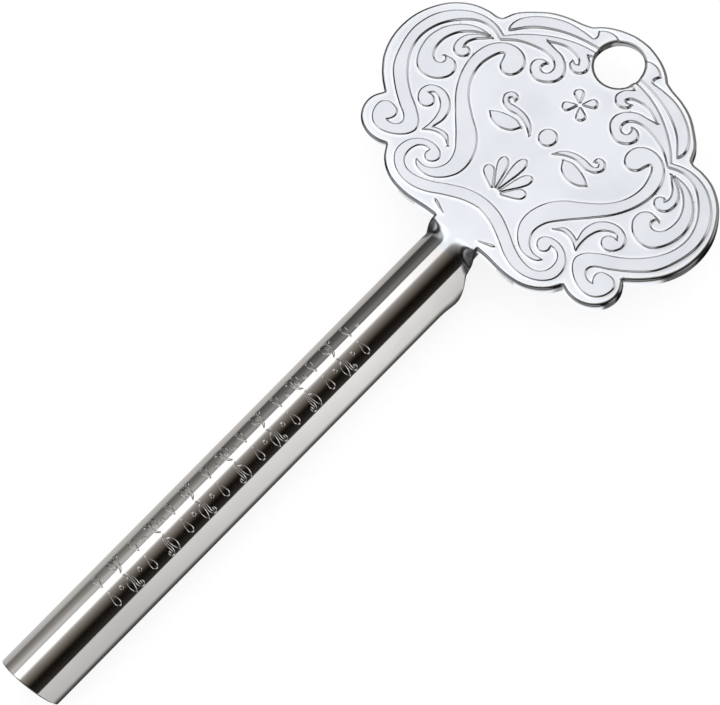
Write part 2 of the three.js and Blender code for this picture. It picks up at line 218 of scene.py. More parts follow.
# Leaf with a curled tendril beside the cartouche.
SIDE_LEAF = [
    [(6.37, 10.58), (7.3, 10.45), (8.4, 10.52), (9.5, 10.95), (10.2, 11.8), (10.35, 12.6)],
    [(9.87, 13.05), (9.93, 12.55), (9.6, 11.93), (9.1, 11.78), (8.6, 12.1), (8.42, 12.7),
     (8.75, 13.42), (9.6, 13.88), (10.6, 13.55), (11.12, 12.4), (10.9, 11.15), (10, 10.1),
     (8.67, 9.7)],
    [(7.25, 9.98), (7.55, 9.1), (7.55, 8.15)],
    [(6.67, 7.25), (7.12, 8.1), (7.17, 8.9), (6.9, 9.8)],
]

# Cartouche band: one S-curve from the curl near the neck to the hooked knob near the hang hole.
CARTOUCHE = [
    [(3.5, 8.75), (3.05, 8.35), (2.8, 7.4), (2.95, 6.3), (3.7, 5.2), (5, 4.35), (6.5, 4.22),
     (8.3, 4.85), (9.67, 6), (10.9, 7.8), (12.33, 9.58), (14, 10.72), (15.8, 11.1), (17.3, 10.82),
     (18.2, 10.38), (18.38, 10.02), (17.9, 9.75), (17.1, 9.45), (16.68, 8.8), (16.85, 7.95),
     (17.6, 7.45), (18.6, 7.5), (19.4, 8.2), (19.72, 9.4), (19.35, 10.75), (18.2, 11.92),
     (16.33, 12.42), (14.2, 12.1), (12, 11), (10, 9.25), (8, 7.33), (6.6, 6.25), (5.2, 5.95),
     (4, 6.52), (3.42, 7.5)],
]

# Band that crosses above the neck and curls up on each side; only the upper half is listed.
NECK_BAND = [
    [(3.58, 0), (3.42, 1), (3.08, 2.17), (2.3, 3.85), (1.42, 5.5), (0.98, 7), (1, 8.5), (1.6, 10),
     (2.6, 10.92), (3.6, 11.1), (4.7, 10.75), (5.6, 9.75), (5.92, 8.5), (5.6, 7.35), (4.95, 6.97),
     (4.35, 7.25), (4.1, 7.9), (4.5, 8.42)],
    [(5.17, 8.37), (5.2, 8.95), (4.75, 9.68), (3.75, 10), (2.75, 9.75), (2.1, 8.9), (2.05, 7.5),
     (2.6, 5.8), (3.5, 4.2), (4.35, 2.4), (4.68, 1), (4.75, 0)],
]

# Crescent leaf along the second lobe, ending round the hang hole.
CROWN_LEAF = [
    [(20.67, 11.58), (21.33, 11.78), (22.3, 11.6), (23.5, 10.7), (24.6, 9.15), (25.3, 7.4),
     (25.53, 5.6)],
    [(25.53, 4), (26, 3.88)],
    [(26.63, 4.2), (27.05, 3.65), (27.28, 2.9), (27.2, 2.2), (26.8, 1.6), (26.3, 1.2)],
    [(25.1, 2.2), (25.05, 3.2), (24.6, 5.7), (23.85, 7.8), (22.6, 9.85)],
]

# Central spray: a stem that curls over at its outer end, with one leaf.
SPRAY_STEM = [
    [(12.9, 1.6), (13.6, 2.7), (13.95, 4), (13.8, 5.3), (14.1, 6.3), (14.9, 6.75), (15.6, 6.3),
     (15.55, 5.55)],
    [(14.95, 5.4), (15.1, 5.95), (14.75, 6.15), (14.45, 5.75), (14.55, 4.6), (14.4, 3.3),
     (13.8, 2.2)],
]
SPRAY_LEAF = [
    [(13.1, 2.9), (12.2, 3.5), (11.75, 4.6), (11.9, 5.9)],
    [(12.45, 6.7), (12.95, 5.9), (13.3, 4.8), (13.4, 3.8)],
]

# Short stroke on each side of the neck.
STROKE_ROOT = (0.83, 2.5)
STROKE_ANGLE = 70
STROKE_LENGTH = 1.77
STROKE_WIDTH = 0.2

# Fan of drops above the neck band, as (angle, length), with a boss and a rosette further out.
FAN_ROOT = 5.6
FAN_DROPS = [(-50, 2.6), (-25, 3.6), (0, 4.3), (25, 3.6), (50, 2.6)]
FAN_DROP_START = 0.8
FAN_DROP_WIDTH = 1.05
BOSS_X = 14
BOSS_RADIUS = 0.95
ROSETTE_X = 18.9
PETAL_START = 0.3
PETAL_LENGTH = 1.5
PETAL_WIDTH = 0.95

# Border along the front of the barrel: pairs of drops and pairs of sprays by turns, beads between.
BORDER_START = -51.4
BORDER_PITCH = 2.5
BORDER_UNITS = 15
BORDER_MIDDLE = -0.1
BORDER_DROP_ROOT = 0.35
BORDER_DROP_LENGTH = 1.4
BORDER_DROP_WIDTH = 0.6
BORDER_SPRAY_SCALE = 0.36
BORDER_SPRAY_OFFSET = 1.05
BORDER_BEAD_OFFSET = 0.8
BORDER_BEAD_RADIUS = 0.18
SPRAY_CENTRE = (13.7, 4.2)

OUTLINE_STEP = 0.16
NECK_STEP = 0.15
WING_STEP = 0.4
END_STEP = 0.2


def smooth_run(points, step):
    """Points along one centripetal curve through the given points, without its last point."""
    knots = np.array(points, float)
    padded = np.vstack([2 * knots[0] - knots[1], knots, 2 * knots[-1] - knots[-2]])
    gaps = np.sqrt(np.linalg.norm(np.diff(padded, axis=0), axis=1))
    spans = []
    for i in range(len(knots) - 1):
        before, start, end, after = padded[i:i + 4]
        g0, g1, g2 = gaps[i:i + 3]
        leave = ((start - before) / g0 - (end - before) / (g0 + g1) + (end - start) / g1) * g1
        arrive = ((end - start) / g1 - (after - start) / (g1 + g2) + (after - end) / g2) * g1
        count = max(1, round(np.linalg.norm(end - start) / step))
        t = (np.arange(count) / count)[:, None]
        spans.append(
            (2 * t**3 - 3 * t**2 + 1) * start
            + (t**3 - 2 * t**2 + t) * leave
            + (3 * t**2 - 2 * t**3) * end
            + (t**3 - t**2) * arrive
        )
    return np.vstack(spans)


def join_runs(runs, closed=True):
    """One outline from runs that each end where the next begins."""
    followers = runs[1:] + (runs[:1] if closed else [])
    parts = [smooth_run([*run, after[0]], OUTLINE_STEP) for run, after in zip(runs, followers)]
    if not closed:
        parts += [smooth_run(runs[-1], OUTLINE_STEP), np.array([runs[-1][-1]], float)]
    return np.vstack(parts)


def mirrored(points):
    """The points on the other side of the centre line, in the opposite order."""
    return (points * (1, -1))[::-1]


def turned_left(outline):
    """The outline in counter-clockwise order."""
    after = np.roll(outline, -1, axis=0)
    area = np.sum(outline[:, 0] * after[:, 1] - outline[:, 1] * after[:, 0])
    return outline if area > 0 else outline[::-1]


def arc(centre, radius, start, end, count):
    """Points on an arc, angles in degrees."""
    angles = np.radians(np.linspace(start, end, count))
    return np.array(centre, float) + radius * np.column_stack([np.cos(angles), np.sin(angles)])


def circle(x, y, radius):
    """A closed ring of points, counter-clockwise."""
    count = max(16, round(2 * math.pi * radius / OUTLINE_STEP))
    return arc((x, y), radius, 0, 360, count + 1)[:-1]


def drop_outline(root, angle, start, length, width):
    """A drop that leaves root at an angle in degrees: pointed at the root, round at its far end."""
    along = np.array([math.cos(math.radians(angle)), math.sin(math.radians(angle))])
    across = np.array([-along[1], along[0]])
    profile = [(0, 0.06), (0.3, 0.275), (0.6, 0.475), (0.82, 0.5), (0.95, 0.3), (1, 0)]
    base = np.array(root)
    right, left = [
        [base + along * (start + t * length) + across * sign * w * width for t, w in profile]
        for sign in (-1, 1)
    ]
    return join_runs([[*right, *left[-2:0:-1]], [left[0]]])


def flare(x):
    """Half-width of the neck: parallel beside the bow, then widening to the barrel's front panel."""
    t = np.clip((FLARE_START - x) / (FLARE_START - SHOULDER), 0, 1)
    return NECK_HALF_WIDTH + (FRONT_HALF_WIDTH - NECK_HALF_WIDTH) * t * t * (3 - 2 * t)


def blank_outline():
    """The edge of the flat blank, counter-clockwise."""
    bow = join_runs(BOW_EDGE, closed=False)[::-1]
    neck_x = np.append(np.arange(NECK_END - NECK_STEP, BARREL_START, -NECK_STEP), BARREL_START)
    neck = np.column_stack([neck_x, flare(neck_x)])
    shoulder = smooth_run([neck[-1], *WING_SHOULDER[1:]], OUTLINE_STEP)[1:]
    wing_x = np.arange(WING_SHOULDER[-1][0], BARREL_END + END_CORNER + WING_STEP / 2, -WING_STEP)
    wing = np.column_stack([wing_x, np.full_like(wing_x, WING_EDGE)])
    end_corner = arc((BARREL_END + END_CORNER, WING_EDGE - END_CORNER), END_CORNER, 90, 180, 9)
    end_y = np.arange(WING_EDGE - END_CORNER - END_STEP, END_STEP / 2, -END_STEP)
    end = np.column_stack([np.full_like(end_y, BARREL_END), end_y])
    half = np.vstack([bow, neck, shoulder, wing, end_corner, end])
    outline = np.vstack([half, [(BARREL_END, 0)], mirrored(half[1:])])
    share = (outline[:, 1] - LEFT_GROWTH_FROM) / (LEFT_GROWTH_FULL - LEFT_GROWTH_FROM)
    growth = LEFT_GROWTH * np.clip(share, 0, 1)
    return outline + np.column_stack([end_shift(outline), growth])


def end_shift(points):
    """How far the barrel's cut end bows out and slants. The shift fades away along the barrel."""
    angle = points[:, 1] / MIDDLE_RADIUS
    share = np.clip((BARREL_END + END_REACH - points[:, 0]) / END_REACH, 0, 1)
    return share * (END_BULGE * (1 - np.cos(angle)) - END_SLANT * np.sin(angle) - END_SLANT / 2)


def ornament_outlines():
    """Every raised band of the bow, on both sides of the centre line."""
    scrolls = [EDGE_SCROLL, LOBE_SCROLL, CARTOUCHE]
    leaves = [LOBE_LEAF, SIDE_LEAF, CROWN_LEAF, SPRAY_STEM, SPRAY_LEAF]
    bands = []
    for runs in scrolls + leaves:
        outline = join_runs(runs)
        bands += [outline, mirrored(outline)]
    outer, inner = NECK_BAND
    neck_half = join_runs([outer, inner], closed=False)
    bands.append(np.vstack([neck_half, mirrored(neck_half[1:-1])]))
    stroke = drop_outline(STROKE_ROOT, STROKE_ANGLE, 0, STROKE_LENGTH, STROKE_WIDTH)
    bands += [stroke, mirrored(stroke)]
    bands.append(circle(BOSS_X, 0, BOSS_RADIUS))
    for angle, length in FAN_DROPS:
        bands.append(drop_outline((FAN_ROOT, 0), angle, FAN_DROP_START, length, FAN_DROP_WIDTH))
    for angle in (45, 135, 225, 315):
        petal = drop_outline((ROSETTE_X, 0), angle, PETAL_START, PETAL_LENGTH, PETAL_WIDTH)
        bands.append(petal)
    return [turned_left(band) for band in bands]


def border_outlines():
    """Sprays, drops and beads along the front of the barrel."""
    spray = [join_runs(SPRAY_STEM), join_runs(SPRAY_LEAF)]
    bands = []
    for i in range(BORDER_UNITS):
        x = BORDER_START + BORDER_PITCH * (i + 0.5)
        turned = 1 if i % 4 < 2 else -1
        for side in (-1, 1):
            if i % 2 == 0:
                root = (x, BORDER_MIDDLE + BORDER_DROP_ROOT * side)
                bands.append(drop_outline(root, 90 * side, 0, BORDER_DROP_LENGTH, BORDER_DROP_WIDTH))
            else:
                place = (x, BORDER_MIDDLE + BORDER_SPRAY_OFFSET * side)
                scale = BORDER_SPRAY_SCALE * np.array([turned, side])
                bands += [(o - SPRAY_CENTRE) * scale + place for o in spray]
        bead_y = BORDER_MIDDLE - BORDER_BEAD_OFFSET * turned
        bands.append(circle(x + BORDER_PITCH / 2, bead_y, BORDER_BEAD_RADIUS))
    return [turned_left(band) for band in bands]


# ---- Distances on the blank. ----

def signed_distance(points, outlines):
    """Distance to the nearest outline, positive on its left, and the direction in which it grows."""
    here = np.vstack(outlines)
    before = np.vstack([np.roll(o, 1, axis=0) for o in outlines])
    after = np.vstack([np.roll(o, -1, axis=0) for o in outlines])
    tree = KDTree(len(here))
    for i, (x, y) in enumerate(here):
        tree.insert((x, y, 0), i)
    tree.balance()
    nearest = np.array([tree.find((x, y, 0))[1] for x, y in points])
    offsets = []
    lefts = []
    for start, end in ((before[nearest], here[nearest]), (here[nearest], after[nearest])):
        along = end - start
        length = np.linalg.norm(along, axis=1, keepdims=True)
        t = np.clip(np.sum((points - start) * along, axis=1, keepdims=True) / length**2, 0, 1)
        offsets.append(points - (start + t * along))
        lefts.append(np.column_stack([-along[:, 1], along[:, 0]]) / length)
    gaps = [np.linalg.norm(offset, axis=1) for offset in offsets]
    use_first = gaps[0] <= gaps[1] + 1e-9
    use_second = gaps[1] <= gaps[0] + 1e-9
    left = lefts[0] * use_first[:, None] + lefts[1] * use_second[:, None]
    left /= np.maximum(np.linalg.norm(left, axis=1, keepdims=True), 1e-9)
    offset = np.where(use_first[:, None], offsets[0], offsets[1])
    gap = np.minimum(*gaps)
    side = np.where(np.sum(offset * left, axis=1) >= 0, 1.0, -1.0)
    away = offset * side[:, None] / np.maximum(gap, 1e-5)[:, None]
    return gap * side, np.where(gap[:, None] > 1e-5, away, left)


def pressing(points):
    """Height and bevel width of the ornament: shallow and sharp at the neck, deeper at the tip."""
    x = points[:, 0]
    share = np.clip(x / FULL_RELIEF_X, 0, 1)
    on_bow = x > SHOULDER
    relief = np.where(on_bow, NECK_RELIEF + (TIP_RELIEF - NECK_RELIEF) * share, BORDER_RELIEF)
    bevel = np.where(on_bow, NECK_BEVEL + (TIP_BEVEL - NECK_BEVEL) * share, BORDER_BEVEL)
    return relief, bevel


def front_relief(points, bands, edges):
    """Height of the pressed front face over the flat one, its slope, and the materials' masks."""
    band, band_way = signed_distance(points, bands)
    relief, bevel = pressing(points)
    t = np.clip(band / bevel + 0.5, 0, 1)
    raised = t * t * (3 - 2 * t)
    skirt = np.clip(1 + band / SKIRT_WIDTH, 0, 1)
    rise = np.where(points[:, 0] > SHOULDER, SKIRT_RISE, 0)
    height = relief * raised + rise * np.where(band > 0, 1, skirt**2)
    bevel_slope = relief * 6 * t * (1 - t) / bevel
    skirt_slope = 2 * rise / SKIRT_WIDTH * np.where(band > 0, 0, skirt)
    slope = (bevel_slope + skirt_slope)[:, None] * band_way

    edge, edge_way = signed_distance(points, edges)
    on_barrel = np.clip((-points[:, 0] - 2) / 2, 0, 1)
    by_hole = np.linalg.norm(points - (HOLE_X, 0), axis=1) < HOLE_RADIUS + EDGE_ROLL
    roll = EDGE_ROLL + (BARREL_EDGE_ROLL - EDGE_ROLL) * on_barrel
    drop = np.where(by_hole, HOLE_EDGE_DROP, EDGE_DROP + (BARREL_EDGE_DROP - EDGE_DROP) * on_barrel)
    reach = np.clip(1 - edge / roll, 0, 1)
    height -= drop * (1 - np.sqrt(1 - reach**2))
    slope += (drop / roll * reach / np.sqrt(1 - reach**2 + 1e-4))[:, None] * edge_way

    groove = np.clip(1 - ((band + 0.02) / (GROOVE_SHARE * bevel)) ** 2, 0, 1)
    # Painted highlight: white strips beside the bands and inside the edge, fading out towards the
    # barrel.
    beside = np.clip(1 - (-band - BAND_STRIP[0]) / BAND_STRIP[1], 0, 1) * (1 - raised)
    rim = np.clip(1 - (edge - RIM_STRIP[0]) / RIM_STRIP[1], 0, 1)
    painted_highlight = np.maximum(beside, rim) * np.clip((points[:, 0] + 1) / 2, 0, 1)
    # Painted shade: darkens the edge roll and the hole's rim; the same mask makes the worn edges
    # smoother.
    edge_shade_and_wear = np.clip(np.where(by_hole, HOLE_SHADE_AND_WEAR * np.sqrt(reach), EDGE_SHADE_AND_WEAR * reach), 0, 1)
    # Painted shade at the creases where the neck rolls into the barrel; the same mask makes them
    # matt.
    from_crease = ((points[:, 0] - CREASE_X) / CREASE_LENGTH) ** 2
    from_crease += ((np.abs(points[:, 1]) - NECK_HALF_WIDTH) / CREASE_WIDTH) ** 2
    crease = np.clip(1 - from_crease, 0, 1)
    masks = {"raised": raised, "groove": groove, "edge_shade_and_wear": edge_shade_and_wear, "painted_highlight": painted_highlight, "crease": crease}
    return height, slope, masks


# ---- The bend. ----

def rolled(points, depth):
    """Points of the blank, at a depth under its front face, after the bend."""
    x, across = points[:, 0], points[:, 1]
    t = np.clip((ROLL_START - x) / (ROLL_START - ROLL_END), 0, 1)
    bend = t * t * (3 - 2 * t)
    run = np.clip(x / BARREL_END, 0, 1)
    curvature = np.maximum(bend / (BARREL_RADIUS + RADIUS_SPREAD * (1 - 2 * run)), 1e-7)
    radius = 1 / curvature
    angle = across / (radius - SHEET / 2)
    sag = 2 * radius * np.sin(angle / 2) ** 2
    sideways = bend * BARREL_SHIFT + np.maximum(ROLL_END - x, 0) * math.tan(BARREL_LEAN)
    on_wing = np.clip((np.abs(across) - FRONT_HALF_WIDTH) / 2, 0, 1)
    flared = on_wing**2 * np.exp(-(((x - WING_FLARE_X) / WING_FLARE_LENGTH) ** 2))
    out = WING_FLARE * flared - depth
    return np.column_stack([x, sideways + (radius + out) * np.sin(angle), out * np.cos(angle) - sag])


def bent_axes(points, depth):
    """The blank's x, across and outward directions after the bend."""
    e = 0.01
    along = (rolled(points + (e, 0), depth) - rolled(points - (e, 0), depth)) / (2 * e)
    across = (rolled(points + (0, e), depth) - rolled(points - (0, e), depth)) / (2 * e)
    return along, across, unit(np.cross(along, across))


def unit(vectors):
    """The vectors at length one."""
    return vectors / np.maximum(np.linalg.norm(vectors, axis=1, keepdims=True), 1e-12)


# ---- The blank's mesh. ----

def left_of(outline):
    """The direction to the left of each outline point."""
    along = unit(np.roll(outline, -1, axis=0) - np.roll(outline, 1, axis=0))
    return np.column_stack([-along[:, 1], along[:, 0]])


def offset_rows(outlines, distances):
    """Rows of points beside each outline."""
    return np.vstack([outline + left_of(outline) * gap for outline in outlines for gap in distances])


def bevel_rows(outlines):
    """Rows of points along the bevel and the skirt of each raised band."""
    rows = []
    for share in (0, -0.5, 0.5, -0.25, 0.25):
        rows += [o + left_of(o) * share * pressing(o)[1][:, None] for o in outlines]
    rows += [(o - left_of(o) * gap)[::2] for o in outlines for gap in (0.28, 0.48)]
    return np.vstack(rows)


def grid(x0, x1, y0, y1, x_step, y_step):
    """An even grid of points over a rectangle, with steps close to the given ones."""
    xs = np.linspace(x0, x1, max(2, round((x1 - x0) / x_step) + 1))
    ys = np.linspace(y0, y1, max(2, round((y1 - y0) / y_step) + 1))
    return np.array([(x, y) for x in xs for y in ys])


def thinned(points, gap):
    """The points without those that share a small cell with an earlier one."""
    _, first = np.unique(np.floor(points / gap), axis=0, return_index=True)
    return points[np.sort(first)]


def seam_points():
    """Points across the blank where one piece meets the next, between its two edges."""
    return [
        np.array([(x, y) for y in np.linspace(-half, half, 33)[1:-1]])
        for x, half in ((NECK_END, NECK_HALF_WIDTH), (BARREL_START, float(flare(BARREL_START))))
    ]


class Skin:
    """Triangles over one face of the blank. The points of its edges and seams come first."""

    def __init__(self, edges, seams, inner, clear):
        fixed = np.vstack([*edges, *seams])
        gap, _ = signed_distance(inner, edges)
        inner = inner[gap > clear]
        for seam in seams:
            inner = inner[np.abs(inner[:, 0] - seam[0, 0]) > clear]
        self.points = np.vstack([fixed, inner])
        self.triangles, self.stations = self.triangulate(edges, seams)

    def triangulate(self, edges, seams):
        """The triangles between the edges, and the station of each."""
        constraints = []
        start = 0
        for loop in edges:
            ring = np.arange(start, start + len(loop))
            constraints += list(zip(ring.tolist(), np.roll(ring, -1).tolist()))
            start += len(loop)
        for seam in seams:
            row = list(range(start, start + len(seam)))
            ends = [self.edge_point_at(seam[0, 0], sign) for sign in (-1, 1)]
            row = [ends[0], *row, ends[1]]
            constraints += list(zip(row[:-1], row[1:]))
            start += len(seam)
        coords = [Vector(p) for p in self.points.tolist()]
        _, _, faces, sources, _, _ = delaunay_2d_cdt(coords, constraints, [], 0, 1e-6)
        triangles = np.array([[sources[v][0] for v in face] for face in faces])
        a, b, c = (self.points[triangles[:, i]] for i in range(3))
        area = (b[:, 0] - a[:, 0]) * (c[:, 1] - a[:, 1]) - (b[:, 1] - a[:, 1]) * (c[:, 0] - a[:, 0])
        triangles[area < 0] = triangles[area < 0][:, ::-1]
        centres = (a + b + c) / 3
        inside = signed_distance(centres, edges)[0] > 0
        return triangles[inside], blank_stations(centres[inside])

    def edge_point_at(self, x, sign):
        """The index of the edge point where a seam at x ends."""
        half = float(flare(x)) if x < NECK_END else NECK_HALF_WIDTH
        return int(np.argmin(np.linalg.norm(self.points - (x, sign * half), axis=1)))


def blank_stations(points):
    """x of each point, except that the bow's shoulders beside the neck count as bow."""
    x, y = points[:, 0], np.abs(points[:, 1])
    shoulder = (y > NECK_HALF_WIDTH) & (x > FLARE_START)
    return np.where(shoulder, np.maximum(x, NECK_END + 0.01), x)


def wall_directions(edges):
    """Outward directions of the wall that starts at each edge point, at its start and at its end."""
    smooth = math.cos(math.radians(35))
    starts = []
    ends = []
    for loop in edges:
        along = unit(np.roll(loop, -1, axis=0) - loop)
        outward = np.column_stack([along[:, 1], -along[:, 0]])
        earlier = np.roll(outward, 1, axis=0)
        later = np.roll(outward, -1, axis=0)
        soft_start = np.sum(outward * earlier, axis=1) > smooth
        soft_end = np.sum(outward * later, axis=1) > smooth
        starts.append(np.where(soft_start[:, None], unit(outward + earlier), outward))
        ends.append(np.where(soft_end[:, None], unit(outward + later), outward))
    return np.vstack(starts), np.vstack(ends)


# How far the fill reaches sideways, and how close points may lie to each other and to an edge.
BEND_REACH = 4.2
BOW_REACH = 20.5
FRONT_GAP = 0.045
FRONT_CLEAR = 0.012
BACK_CLEAR = 0.12


def build_skins():
    """The edges of the blank, its raised bands, and its front and back skins while it is flat."""
    outline = blank_outline()
    hole = circle(HOLE_X, 0, HOLE_RADIUS)[::-1]
    hole_back = (hole - (HOLE_X, 0)) * HOLE_BACK_RADIUS / HOLE_RADIUS + (HOLE_X, 0)
    edges = [outline, hole]
    seams = seam_points()
    bands = ornament_outlines() + border_outlines()
    edge_rows = [EDGE_ROLL * share for share in (0.06, 0.2, 0.4, 0.7, 1)]
    fills = np.vstack([
        grid(ROLL_END - 0.3, ROLL_START + 0.3, -BEND_REACH, BEND_REACH, 0.12, 0.2),
        grid(BARREL_END, SHOULDER, -WING_EDGE, WING_EDGE, 0.5, 0.22),
        grid(SHOULDER, -2, -5, 5, 0.2, 0.2),
        grid(-0.5, TIP_X, -BOW_REACH, BOW_REACH, 0.45, 0.45),
    ])
    rows = np.vstack([offset_rows(edges, edge_rows), bevel_rows(bands)])
    near, _ = signed_distance(fills, bands)
    fills = fills[np.abs(near) > 0.8 * TIP_BEVEL]
    front = Skin(edges, seams, thinned(np.vstack([rows, fills]), FRONT_GAP), FRONT_CLEAR)
    back_fill = np.vstack([
        grid(ROLL_END - 0.3, ROLL_START + 0.3, -BEND_REACH, BEND_REACH, 0.2, 0.25),
        grid(BARREL_END, SHOULDER, -WING_EDGE, WING_EDGE, 1, 0.25),
        grid(SHOULDER, TIP_X, -BOW_REACH, BOW_REACH, 1, 1),
    ])
    back = Skin([outline, hole_back], seams, back_fill, BACK_CLEAR)
    return edges, bands, front, back


def open_edges(triangles):
    """The directed edges that only one triangle has."""
    directed = np.vstack([triangles[:, pair] for pair in ([0, 1], [1, 2], [2, 0])]).tolist()
    known = set(map(tuple, directed))
    return np.array([pair for pair in directed if (pair[1], pair[0]) not in known])


class Blank:
    """The whole bent blank: positions, normals and masks of both skins, front first."""

    def __init__(self):
        edges, bands, self.front, self.back = build_skins()
        height, slope, masks = front_relief(self.front.points, bands, edges)
        front_at = rolled(self.front.points, -height)
        back_at = rolled(self.back.points, np.full(len(self.back.points), SHEET))
        self.positions = np.vstack([front_at, back_at]) * MM + np.array(ORIGIN)

        self.along, self.across, outward = bent_axes(self.front.points, 0)
        lean_x = slope[:, :1] * self.along / np.sum(self.along**2, axis=1, keepdims=True)
        lean_y = slope[:, 1:] * self.across / np.sum(self.across**2, axis=1, keepdims=True)
        self.front_normals = unit(outward - lean_x - lean_y)
        _, _, back_outward = bent_axes(self.back.points, SHEET)
        self.back_normals = -back_outward
        self.wall_starts, self.wall_ends = wall_directions(edges)

        # The back skin has no masks, except that painted shade darkens the hole's wall to its back
        # edge.
        plain = np.zeros(len(self.back.points))
        from_hole = np.linalg.norm(self.back.points - (HOLE_X, 0), axis=1)
        hole_wall_shade = np.clip(1 - (from_hole - HOLE_BACK_RADIUS) / EDGE_ROLL, 0, 1)
        self.masks = {
            label: np.concatenate([values, hole_wall_shade if label == "edge_shade_and_wear" else plain])
            for label, values in masks.items()
        }

    def wall_corners(self, rim, x_from, x_to):
        """Normals of each wall quad's corners: across the sheet's edge, or flat along a seam."""
        x = self.front.points[rim][:, :, 0]
        normals = np.zeros((len(rim), 4, 3))
        for seam_x, facing in ((x_from, -1), (x_to, 1)):
            normals[(np.abs(x - seam_x) < 1e-6).all(axis=1)] = (facing, 0, 0)
        cut = ~normals.any(axis=(1, 2))
        first, second = rim[cut, 0], rim[cut, 1]
        for corners, points, directions in (
            ((1, 2), first, self.wall_starts),
            ((0, 3), second, self.wall_ends),
        ):
            flat = directions[first]
            bent = unit(flat[:, :1] * self.along[points] + flat[:, 1:] * unit(self.across[points]))
            for corner in corners:
                normals[np.flatnonzero(cut), corner] = bent
        return normals

    def make_piece(self, name, x_from, x_to):
        """The closed part of the blank between two stations, with the whole blank's normals."""
        in_top = (self.front.stations > x_from) & (self.front.stations < x_to)
        in_bottom = (self.back.stations > x_from) & (self.back.stations < x_to)
        top = self.front.triangles[in_top]
        bottom = self.back.triangles[in_bottom][:, ::-1]
        rim = open_edges(top)
        below = len(self.front.points)
        walls = np.column_stack([rim[:, 1], rim[:, 0], rim[:, 0] + below, rim[:, 1] + below])
        faces = [*top.tolist(), *(bottom + below).tolist(), *walls.tolist()]
        normals = np.vstack([
            self.front_normals[top].reshape(-1, 3),
            self.back_normals[bottom].reshape(-1, 3),
            self.wall_corners(rim, x_from, x_to).reshape(-1, 3),
        ])
        used = np.unique(np.concatenate([top.ravel(), bottom.ravel() + below, walls.ravel()]))
        places = {int(old): new for new, old in enumerate(used)}
        faces = [[places[v] for v in face] for face in faces]
        mesh = bpy.data.meshes.new(name)
        mesh.from_pydata(self.positions[used].tolist(), [], faces)
        mesh.polygons.foreach_set("use_smooth", [True] * len(mesh.polygons))
        mesh.normals_split_custom_set(normals.tolist())
        for label, values in self.masks.items():
            attribute = mesh.attributes.new(label, "FLOAT", "POINT")
            attribute.data.foreach_set("value", values[used].astype(np.float32))
        piece = bpy.data.objects.new(name, mesh)
        bpy.context.scene.collection.objects.link(piece)
        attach(piece, "root")
        return piece


# ---- Materials. ----

class Graph:
    """A small helper that adds and links shader nodes."""

    def __init__(self, tree):
        self.tree = tree
        self.nodes = tree.nodes
        self.nodes.clear()

    def add(self, kind, inputs=None, **settings):
        """A new node, with its settings and its inputs, which may be values or other sockets."""
        node = self.nodes.new(kind)
        for name, value in settings.items():
            setattr(node, name, value)
        for name, value in (inputs or {}).items():
            if isinstance(value, bpy.types.NodeSocket):
                self.tree.links.new(value, node.inputs[name])
            else:
                node.inputs[name].default_value = value
        return node

    def math(self, operation, first, second=0.0):
        """The result of one operation on two values."""
        return self.add("ShaderNodeMath", {0: first, 1: second}, operation=operation).outputs[0]

    def noise(self, coordinates, scale, stretch=(1, 1, 1), turn=0.0, detail=2.0):
        """Noise with `scale` cells to the metre, after a stretch and a turn about z."""
        placed = self.add(
            "ShaderNodeMapping", {"Vector": coordinates, "Rotation": (0, 0, turn), "Scale": stretch}
        )
        settings = {"Vector": placed.outputs[0], "Scale": scale, "Detail": detail}
        return self.add("ShaderNodeTexNoise", settings).outputs["Fac"]

    def spread(self, value, low, high, to_low, to_high):
        """A smooth step from to_low at low to to_high at high."""
        return self.add(
            "ShaderNodeMapRange",
            {"Value": value, "From Min": low, "From Max": high, "To Min": to_low, "To Max": to_high},
            interpolation_type="SMOOTHSTEP",
        ).outputs[0]

    def tint(self, factor, first, second):
        """A mix of two colours."""
        mix = self.add("ShaderNodeMix", {0: factor, 6: first, 7: second}, data_type="RGBA")
        return mix.outputs[2]

    def mask(self, name):
        """One of the masks that front_relief gives."""
        return self.add("ShaderNodeAttribute", attribute_name=name).outputs["Fac"]


# Each plating has a light and a shaded tone. Then come a painted highlight, the grey that handling
# leaves, stain, and the painted shade of the edges and of the creases.
COOL_NICKEL = [(0.74, 0.765, 0.81, 1), (0.68, 0.705, 0.75, 1)]
WARM_NICKEL = [(0.79, 0.775, 0.76, 1), (0.74, 0.725, 0.71, 1)]
PAINTED_HIGHLIGHT_WHITE = (0.9, 0.91, 0.92, 1)
HANDLED = (0.62, 0.62, 0.64, 1)
STAIN = (0.2, 0.2, 0.2, 1)
PAINTED_EDGE_SHADE = (0.1, 0.1, 0.1, 1)
PAINTED_CREASE_SHADE = (0.045, 0.043, 0.04, 1)

SATIN_ROUGHNESS = 0.18
BRIGHT_ROUGHNESS = 0.05
MARK_DEPTH = 0.0000012


